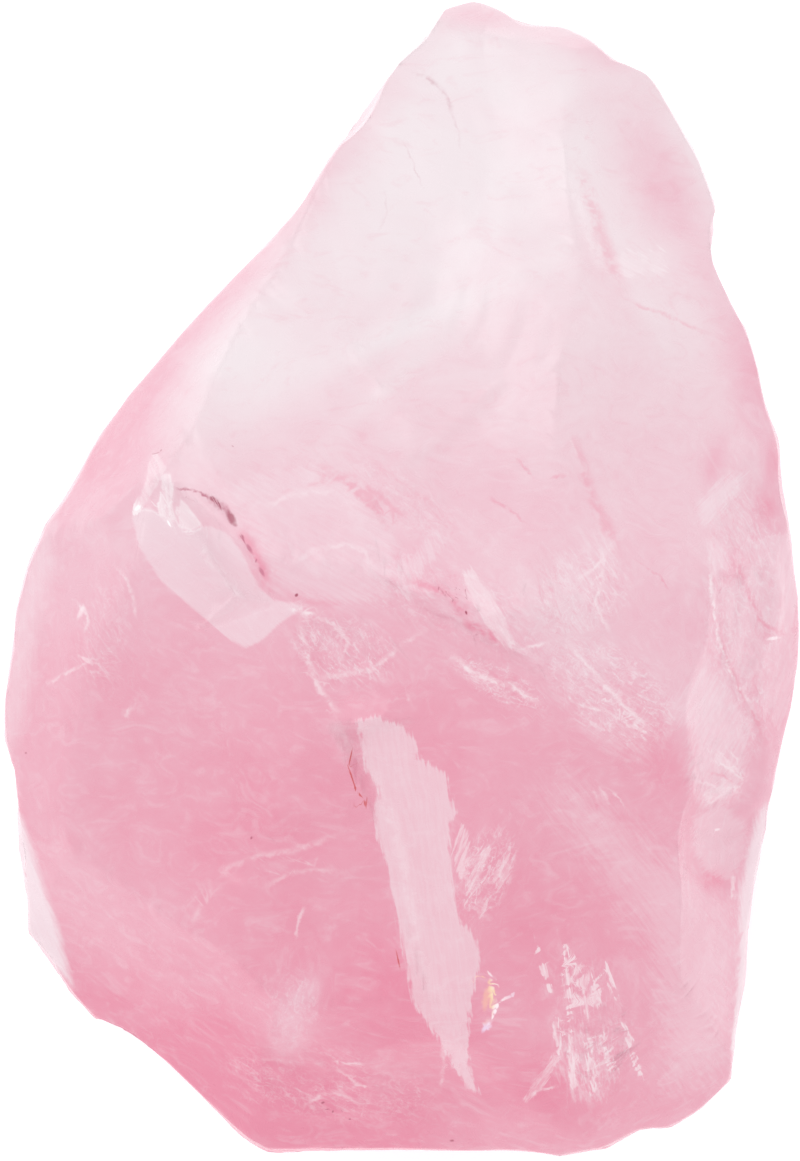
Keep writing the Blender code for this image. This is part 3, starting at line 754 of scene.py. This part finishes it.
def ripple_height(points, ripple):
    """The height of one family of shell-like waves at each point."""
    centre = np.array(on_stone(ripple.column, ripple.row))
    gap = points[:, :2] - centre
    reach = np.linalg.norm(gap, axis=1)
    turn = np.degrees(np.arctan2(gap[:, 1], gap[:, 0])) - ripple.faces
    turn = np.abs((turn + 180.0) % 360.0 - 180.0)
    near, far = ripple.near * PIXEL, ripple.far * PIXEL
    within = smooth_between(near, near * 1.6 + 1.0, reach) * (1.0 - smooth_between(far * 0.7, far, reach))
    within *= 1.0 - smooth_between(ripple.sector * 0.35, ripple.sector * 0.5, turn)
    bent = reach + 0.5 * noise_on(points, 7.0, 2, ripple.column)
    wave = np.sin(bent * (2.0 * math.pi / ripple.spacing))
    return ripple.height * within * (wave + 0.35 * np.abs(wave))


def zone_share(points, zone):
    """How far each point is within one splintery zone, from 0 outside to 1."""
    along, across = turned(points, on_stone(zone.column, zone.row), zone.turn)
    away = np.hypot(along / (zone.half_long * PIXEL), across / (zone.half_wide * PIXEL))
    return 1.0 - smooth_between(0.45, 1.20, away)


def splinter_zones(points, upper):
    """How rough each point is, how many pale splinters it shows, and its place along and across the grain."""
    hackle = np.zeros(len(points))
    wisps = np.zeros(len(points))
    grain = points.copy()
    for zone in ZONES:
        share = zone_share(points, zone)
        hackle = np.maximum(hackle, share * zone.hackle)
        wins = share * zone.wisps > wisps
        wisps[wins] = (share * zone.wisps)[wins]
        along, across = turned(points, np.zeros(2), zone.grain)
        grain[wins] = np.stack((along, across, points[:, 2]), axis=1)[wins]
    under = np.clip(0.35 + 0.4 * noise_on(points, 14.0, 2, 31.0), 0.0, 1.0)
    hackle = hackle * upper + under * (1.0 - upper)
    wisps = wisps * upper + 0.5 * under * (1.0 - upper)
    return hackle, wisps, grain


def shape_relief(mesh, strength):
    """Gives the mesh its ripples, hackles, splinters and cracks."""
    points, normals = read_points(mesh)
    upper = smooth_between(-0.15, 0.25, normals[:, 2])
    hackle, _, grain = splinter_zones(points, upper)
    lift = LUMPS * noise_on(points, 6.0, 3, 4.0)
    lift += GRIT * noise_on(points, 2.0, 3, 9.0) * (0.25 + 0.75 * hackle)
    crests = 1.0 - 2.0 * np.abs(noise_on(grain / (2.4, 0.9, 1.6), 1.0, 3, 3.0))
    lift += HACKLES * hackle * crests
    for ripple in RIPPLES:
        lift += ripple_height(points, ripple) * upper
    for stroke in STROKES:
        nearest = np.full(len(points), FAR)
        route = route_on_stone(stroke.route)
        for start, end in zip(route[:-1], route[1:]):
            nearest = np.minimum(nearest, distance_to_segment(points, start, end)[0])
        near = 1.0 - smooth_between(0.0, 0.55, nearest)
        lift += near * upper * stroke.strength * (-CRACK_DEPTH if stroke.tint > 0.0 else SPLINTER_LIP)
    for veil in VEILS + SLIVERS:
        inside = inside_outline(points, route_on_stone(veil.outline))
        lift += upper * veil.pale * VEIL_LIP * smooth_between(-0.3, 0.3, inside)
    clear = smooth_between(0.0, 1.2, points[:, 2])
    points += normals * (lift * strength * clear)[:, None]
    write_points(mesh, points)


def thickness_of(mesh, points, normals):
    """How much stone lies behind each point, in millimetres."""
    bm = bmesh.new()
    bm.from_mesh(mesh)
    tree = BVHTree.FromBMesh(bm)
    bm.free()
    depths = np.empty(len(points))
    for i, (point, normal) in enumerate(zip(points * MM, normals)):
        start = Vector(point - normal * 2e-5)
        hit = tree.ray_cast(start, Vector(-normal))
        depths[i] = hit[3] / MM if hit[3] is not None else 0.0
    return depths


def paint(mesh, name, values):
    """Stores one value for each point of the mesh."""
    layer = mesh.attributes.new(name, "FLOAT", "POINT")
    layer.data.foreach_set("value", values.astype(np.float32))


def paint_vectors(mesh, name, values):
    """Stores one vector for each point of the mesh."""
    layer = mesh.attributes.new(name, "FLOAT_VECTOR", "POINT")
    layer.data.foreach_set("vector", values.astype(np.float32).ravel())


def paint_tone(mesh, points, upper):
    """How deep the pink is, from 0 at the milky top to 1 in the heart of the lower face."""
    height = points[:, 1] - 0.12 * points[:, 0]
    tone = 0.04 + 0.70 * smooth_between(28.0, -16.0, height)
    for patch in PATCHES:
        along, across = turned(points, on_stone(patch.column, patch.row), patch.turn)
        away = (along / (patch.half_long * PIXEL)) ** 2 + (across / (patch.half_wide * PIXEL)) ** 2
        tone += patch.change * np.exp(-away)
    under = 0.45 + 0.25 * noise_on(points, 16.0, 2, 50.0) - 0.010 * points[:, 1]
    paint(mesh, "tone", np.clip(tone * upper + under * (1.0 - upper), 0.0, 1.2))


def paint_veils(mesh, name, veils, points, upper):
    """Stores the distance inside the nearest veil of a list, and that veil's looks, edge softness, painted
    edge highlight and grain.
    """
    inside = np.full(len(points), -FAR)
    looks = np.zeros((len(points), 3))
    edge = np.zeros((len(points), 3))
    grain = points.copy()
    for veil in veils:
        depth = inside_outline(points, route_on_stone(veil.outline))
        wins = depth > inside
        inside[wins] = depth[wins]
        looks[wins] = (veil.pale, veil.ragged, veil.streak)
        # rim is the strength of the painted highlight along the veil's edge
        edge[wins] = (veil.soft, veil.rim, 0.0)
        along, across = turned(points, np.zeros(2), veil.grain)
        grain[wins] = np.stack((along, across, points[:, 2]), axis=1)[wins]
    inside = np.where(upper > 0.5, inside, -FAR)
    paint(mesh, name + "_inside", np.clip(inside, -FAR, FAR))
    paint_vectors(mesh, name + "_looks", looks)
    paint_vectors(mesh, name + "_edge", edge)
    paint_vectors(mesh, name + "_grain", grain)


def paint_strokes(mesh, points, upper):
    """The signed distance across the nearest crack, splinter, painted highlight or band of painted light, its
    half-width, strength and tint.
    """
    across = np.full(len(points), FAR)
    looks = np.zeros((len(points), 3))
    for stroke in STROKES:
        route = route_on_stone(stroke.route)
        lengths = np.linalg.norm(np.diff(route, axis=0), axis=1)
        travelled = 0.0
        for start, end, length in zip(route[:-1], route[1:], lengths):
            distance, side, share = distance_to_segment(points, start, end)
            wins = distance < np.abs(across)
            across[wins] = (distance * side)[wins]
            whole = (travelled + share * length) / lengths.sum()
            taper = np.clip(np.minimum(whole, 1.0 - whole) * 5.0, 0.0, 1.0)
            near = 1.0 - smooth_between(0.5, 0.9, distance)
            strength = stroke.strength * taper * near
            looks[wins] = np.stack((np.full(len(points), stroke.half_width), strength,
                                    np.full(len(points), stroke.tint)), axis=1)[wins]
            travelled += length
    looks[:, 1] *= upper
    paint(mesh, "stroke_across", across)
    paint_vectors(mesh, "stroke_looks", looks)


def paint_spots(mesh, points, upper):
    """The way to the middle of the nearest speck, in its own half-sizes, its strength and its colour."""
    gap = np.full((len(points), 3), FAR)
    colours = np.zeros((len(points), 3))
    strength = np.zeros(len(points))
    for spot in SPOTS:
        along, across = turned(points, on_stone(spot.column, spot.row), spot.turn)
        own = np.stack((along / spot.half_long, across / spot.half_wide, np.zeros(len(points))), axis=1)
        near = (np.hypot(along, across) < SPOT_REACH) & (upper > 0.5)
        wins = near & (np.linalg.norm(own, axis=1) < np.linalg.norm(gap, axis=1))
        gap[wins] = own[wins]
        colours[wins] = spot.colour
        strength[wins] = spot.strength
    paint_vectors(mesh, "spot_gap", gap)
    paint_vectors(mesh, "spot_colour", colours)
    paint(mesh, "spot_strength", strength)


def paint_stone(mesh):
    """Stores what the quartz material reads from the stone's points."""
    points, normals = read_points(mesh)
    upper = smooth_between(-0.15, 0.20, normals[:, 2])
    hackle, wisps, grain = splinter_zones(points, upper)
    paint_tone(mesh, points, upper)
    paint_veils(mesh, "veil", VEILS, points, upper)
    paint_veils(mesh, "sliver", SLIVERS, points, upper)
    paint_strokes(mesh, points, upper)
    paint_spots(mesh, points, upper)
    paint(mesh, "hackle", hackle)
    paint(mesh, "wisps", wisps)
    paint_vectors(mesh, "wisp_grain", grain)
    # How thin the stone is at each point, used to paint thin edges paler as painted light shining through
    # them
    paint(mesh, "thin", 1.0 - smooth_between(1.0, 9.0, thickness_of(mesh, points, normals)))


def split(shader, vector):
    """The three parts of a vector as values."""
    node = shader.tree.nodes.new("ShaderNodeSeparateXYZ")
    shader.put(node.inputs[0], vector)
    return tuple(Value(shader, output) for output in node.outputs)


def drawn_out(shader, attribute, along, across):
    """A stored place along and across the grain, drawn out so that a noise on it makes streaks."""
    stored = shader.attribute(attribute, "Vector")
    values = {0: stored, 1: (1.0 / along, 1.0 / across, 1.0)}
    return shader.node("ShaderNodeVectorMath", {"operation": "MULTIPLY"}, values)


def streaks_on(shader, vector, detail, rough, distortion):
    """Noise of 0 to 1 on a place that is already drawn out."""
    values = {"Vector": vector, "Scale": 1.0, "Detail": detail, "Roughness": rough, "Distortion": distortion}
    return shader.node("ShaderNodeTexNoise", {"noise_dimensions": "3D"}, values, "Fac")


def add_veils(shader, colour, name, paint, lumps):
    """Covers the colour with the pale veils or slivers of one list, and paints a highlight along their edges.
    """
    inside = shader.attribute(name + "_inside")
    pale, ragged, streak = split(shader, shader.attribute(name + "_looks", "Vector"))
    soft, rim, _ = split(shader, shader.attribute(name + "_edge", "Vector"))
    fine = streaks_on(shader, drawn_out(shader, name + "_grain", 2.6, 0.24), 3.0, 0.65, 0.5)
    edge = inside + ((lumps - 0.5) * 1.1 + (fine - 0.5) * 2.6) * ragged
    cover = shader.steps(edge / soft, -0.5, 0.9)
    streaks = 1.0 - streak * shader.steps(fine, 0.40, 0.60, 1.0, 0.0)
    colour = shader.blend((cover * pale * streaks).clamped(), colour, paint)
    # Painted highlight: a white line along the veil's edge, as bright as its rim value
    edge_highlight = shader.steps(edge.size(), 0.0, 0.13, 1.0, 0.0) * rim
    return shader.blend(edge_highlight, colour, HIGHLIGHT_WHITE)


def add_wisps(shader, colour, veil, deep, cloud):
    """Faint films all over, then fine pale splinters and deeper gaps in the splintery zones."""
    wisps = shader.attribute("wisps")
    film = streaks_on(shader, drawn_out(shader, "wisp_grain", 3.4, 1.6), 5.0, 0.66, 1.6)
    colour = shader.blend(shader.steps(film, 0.46, 0.74) * 0.20, colour, veil)
    colour = shader.blend(shader.steps(film, 0.28, 0.48, 1.0, 0.0) * 0.12, colour, deep)
    fine = streaks_on(shader, drawn_out(shader, "wisp_grain", 1.5, 0.50), 5.0, 0.70, 1.8)
    amount = shader.steps(wisps + (cloud - 0.5) * 0.8, 0.10, 0.85)
    web = (shader.noise(shader.place(), 1.7 * MM, 4.0, 0.62, 2.4) - 0.5).size()
    colour = shader.blend(shader.steps(web, 0.0, 0.035, 1.0, 0.0) * amount * 0.26, colour, GHOST)
    colour = shader.blend(shader.steps(fine, 0.36, 0.48, 1.0, 0.0) * amount * 0.30, colour, deep)
    return shader.blend(shader.steps(fine, 0.51, 0.66) * amount * 0.50, colour, veil)


def add_strokes(shader, colour, deep, rust, lumps, mottle):
    """The cracks, thin splinters, painted highlights and painted light over shaded creases, broken up and
    with a wandering edge.
    """
    across = shader.attribute("stroke_across")
    half_width, strength, tint = split(shader, shader.attribute("stroke_looks", "Vector"))
    gap = (across + (lumps - 0.5) * 0.75).size() / half_width
    broken = shader.steps(lumps * 0.5 + mottle * 0.5, 0.40, 0.56, 0.15, 1.0)
    shown = (shader.steps(gap, 0.0, 1.6, 1.0, 0.0) * strength * broken).clamped()
    stroke = shader.blend((tint * -1.0).clamped(), GHOST, deep)
    stroke = shader.blend(tint.clamped(), stroke, rust)
    return shader.blend(shown, colour, stroke)


def add_spots(shader, colour, lumps):
    """The dark specks and bright glints."""
    away = shader.node("ShaderNodeVectorMath", {"operation": "LENGTH"},
                       {0: shader.attribute("spot_gap", "Vector")}, "Value")
    shown = shader.steps(away + (lumps - 0.5) * 1.4, 0.40, 1.15, 1.0, 0.0) * shader.attribute("spot_strength")
    return shader.blend(shown, colour, shader.attribute("spot_colour", "Color"))


def quartz_material(settings):
    """Rose quartz: milky at the top, deep pink below, with veils, splinters, cracks and a glassy skin. Its
    colour also holds painted highlights and glints, painted light over shaded creases, and paler thin edges
    that stand in for light shining through the stone.
    """
    material = bpy.data.materials.new("rose_quartz_surface")
    shader = Shader(material)
    place = shader.place()
    cloud = shader.noise(place, 8.0 * MM, 3.0, 0.55, 1.0)
    mottle = shader.noise(place, 2.2 * MM, 4.0, 0.66, 1.4)
    lumps = shader.noise(place, 0.9 * MM, 3.0, 0.65)
    tone = shader.attribute("tone")
    depth = (tone + (cloud - 0.5) * 0.28 + (mottle - 0.5) * 0.20 * (tone + 0.20)).clamped()
    milky, pink, deep, veil, rust = (
        tuple(c) for c in (settings.milky, settings.pink, settings.deep, settings.veil, settings.rust))
    colour = shader.node("ShaderNodeValToRGB", {"stops": ((0.0, milky), (0.5, pink), (1.0, deep))},
                         {"Fac": depth})
    colour = add_wisps(shader, colour, veil, deep, cloud)
    colour = add_veils(shader, colour, "veil", veil, lumps)
    colour = add_veils(shader, colour, "sliver", GHOST, lumps)
    # Painted light: thin edges paler, standing in for light shining through the stone
    colour = shader.blend(shader.attribute("thin") * 0.20, colour, veil)
    colour = add_strokes(shader, colour, deep, rust, lumps, mottle)
    colour = add_spots(shader, colour, lumps)
    hackle = shader.attribute("hackle")
    roughness = settings.roughness + 0.16 * hackle + 0.22 * (mottle - 0.5)
    bump = shader.node("ShaderNodeBump", {}, {
        "Strength": 0.40, "Distance": 0.10 * MM, "Height": lumps * (0.15 + 0.34 * hackle)}, "Normal")
    shader.surface_values(
        Base_Color=colour,
        Roughness=roughness.clamped(),
        IOR=1.544,
        Normal=bump,
    )
    return material


def pale_material(name, colour, glow):
    """A plain matt finish for the floor, lit a little from below."""
    material = bpy.data.materials.new(name)
    shader = Shader(material)
    shader.surface_values(
        Base_Color=tuple(colour),
        Roughness=0.9,
        Emission_Color=tuple(colour),
        Emission_Strength=glow,
    )
    return material


class OBJECT_OT_rose_quartz_stone(bpy.types.Operator):
    """Build the rose quartz chunk over its CAD solid"""

    bl_idname = "object.rose_quartz_stone"
    bl_label = "Rose Quartz Stone"

    def execute(self, context):
        settings = context.scene.rose_quartz_stone
        mesh = finer(merged_copy(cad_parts[NODE]), settings.levels)
        mesh.name = "rose_quartz_stone"
        shape_relief(mesh, settings.relief)
        paint_stone(mesh)
        mesh.shade_smooth()
        mesh.set_sharp_from_angle(angle=math.radians(SHARP_ANGLE))
        mesh.materials.clear()
        mesh.materials.append(quartz_material(settings))
        stone = bpy.data.objects.new("rose_quartz_stone", mesh)
        context.scene.collection.objects.link(stone)
        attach(stone, "root")
        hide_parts(NODE)
        return {"FINISHED"}


class OBJECT_OT_rose_quartz_stage(bpy.types.Operator):
    """Lay the floor, light it and set the camera"""

    bl_idname = "object.rose_quartz_stage"
    bl_label = "Rose Quartz Stage"

    def execute(self, context):
        settings = context.scene.rose_quartz_stage
        self.lay_floor(context, settings)
        self.set_light(context, settings)
        self.set_camera(context, settings)
        context.scene.view_settings.view_transform = "Standard"
        return {"FINISHED"}

    def lay_floor(self, context, settings):
        bm = bmesh.new()
        bmesh.ops.create_grid(bm, x_segments=1, y_segments=1, size=settings.floor_width / 2)
        mesh = bpy.data.meshes.new("floor")
        bm.to_mesh(mesh)
        bm.free()
        mesh.materials.append(pale_material("floor_paper", settings.floor_colour, settings.glow))
        floor = bpy.data.objects.new("floor", mesh)
        context.scene.collection.objects.link(floor)

    def set_light(self, context, settings):
        world = bpy.data.worlds.new("studio")
        world.use_nodes = True
        background = world.node_tree.nodes["Background"]
        background.inputs["Color"].default_value = (1.0, 1.0, 1.0, 1.0)
        background.inputs["Strength"].default_value = settings.sky
        context.scene.world = world
        self.add_light(context, "key", settings.key, KEY_WIDTH, Vector(KEY_PLACE))

    def add_light(self, context, name, power, width, place):
        data = bpy.data.lights.new(name, "AREA")
        data.shape = "DISK"
        data.size = width
        data.energy = power
        light = bpy.data.objects.new(name, data)
        facing = (-place).to_track_quat("-Z", "Y").to_matrix().to_4x4()
        light.matrix_world = Matrix.Translation(place) @ facing
        context.scene.collection.objects.link(light)

    def set_camera(self, context, settings):
        data = bpy.data.cameras.new("camera")
        data.sensor_fit = "AUTO"
        data.lens = data.sensor_width * settings.height / (IMAGE_HEIGHT * PIXEL * MM)
        data.clip_start = 0.01
        camera = bpy.data.objects.new("camera", data)
        x, y = on_stone(IMAGE_WIDTH / 2, IMAGE_HEIGHT / 2)
        camera.location = (x * MM, y * MM, settings.height + settings.rim)
        context.scene.collection.objects.link(camera)
        context.scene.camera = camera


class VIEW3D_PT_rose_quartz(bpy.types.Panel):
    """The rose quartz chunk's buttons and settings"""

    bl_label = "Rose Quartz"
    bl_space_type = "VIEW_3D"
    bl_region_type = "UI"
    bl_category = "Rose Quartz"

    def draw(self, context):
        for operator, settings in (
            (OBJECT_OT_rose_quartz_stone, context.scene.rose_quartz_stone),
            (OBJECT_OT_rose_quartz_stage, context.scene.rose_quartz_stage),
        ):
            box = self.layout.box()
            box.operator(operator.bl_idname)
            for name in settings.bl_rna.properties.keys():
                if name not in {"rna_type", "name"}:
                    box.prop(settings, name)


CLASSES = (
    StoneSettings, StageSettings, OBJECT_OT_rose_quartz_stone, OBJECT_OT_rose_quartz_stage,
    VIEW3D_PT_rose_quartz,
)


def register():
    for cls in CLASSES:
        bpy.utils.register_class(cls)
    bpy.types.Scene.rose_quartz_stone = PointerProperty(type=StoneSettings)
    bpy.types.Scene.rose_quartz_stage = PointerProperty(type=StageSettings)


def unregister():
    del bpy.types.Scene.rose_quartz_stage
    del bpy.types.Scene.rose_quartz_stone
    for cls in reversed(CLASSES):
        bpy.utils.unregister_class(cls)


def main():
    register()
    bpy.ops.object.rose_quartz_stone()
    bpy.ops.object.rose_quartz_stage()


if __name__ == "__main__":
    main()
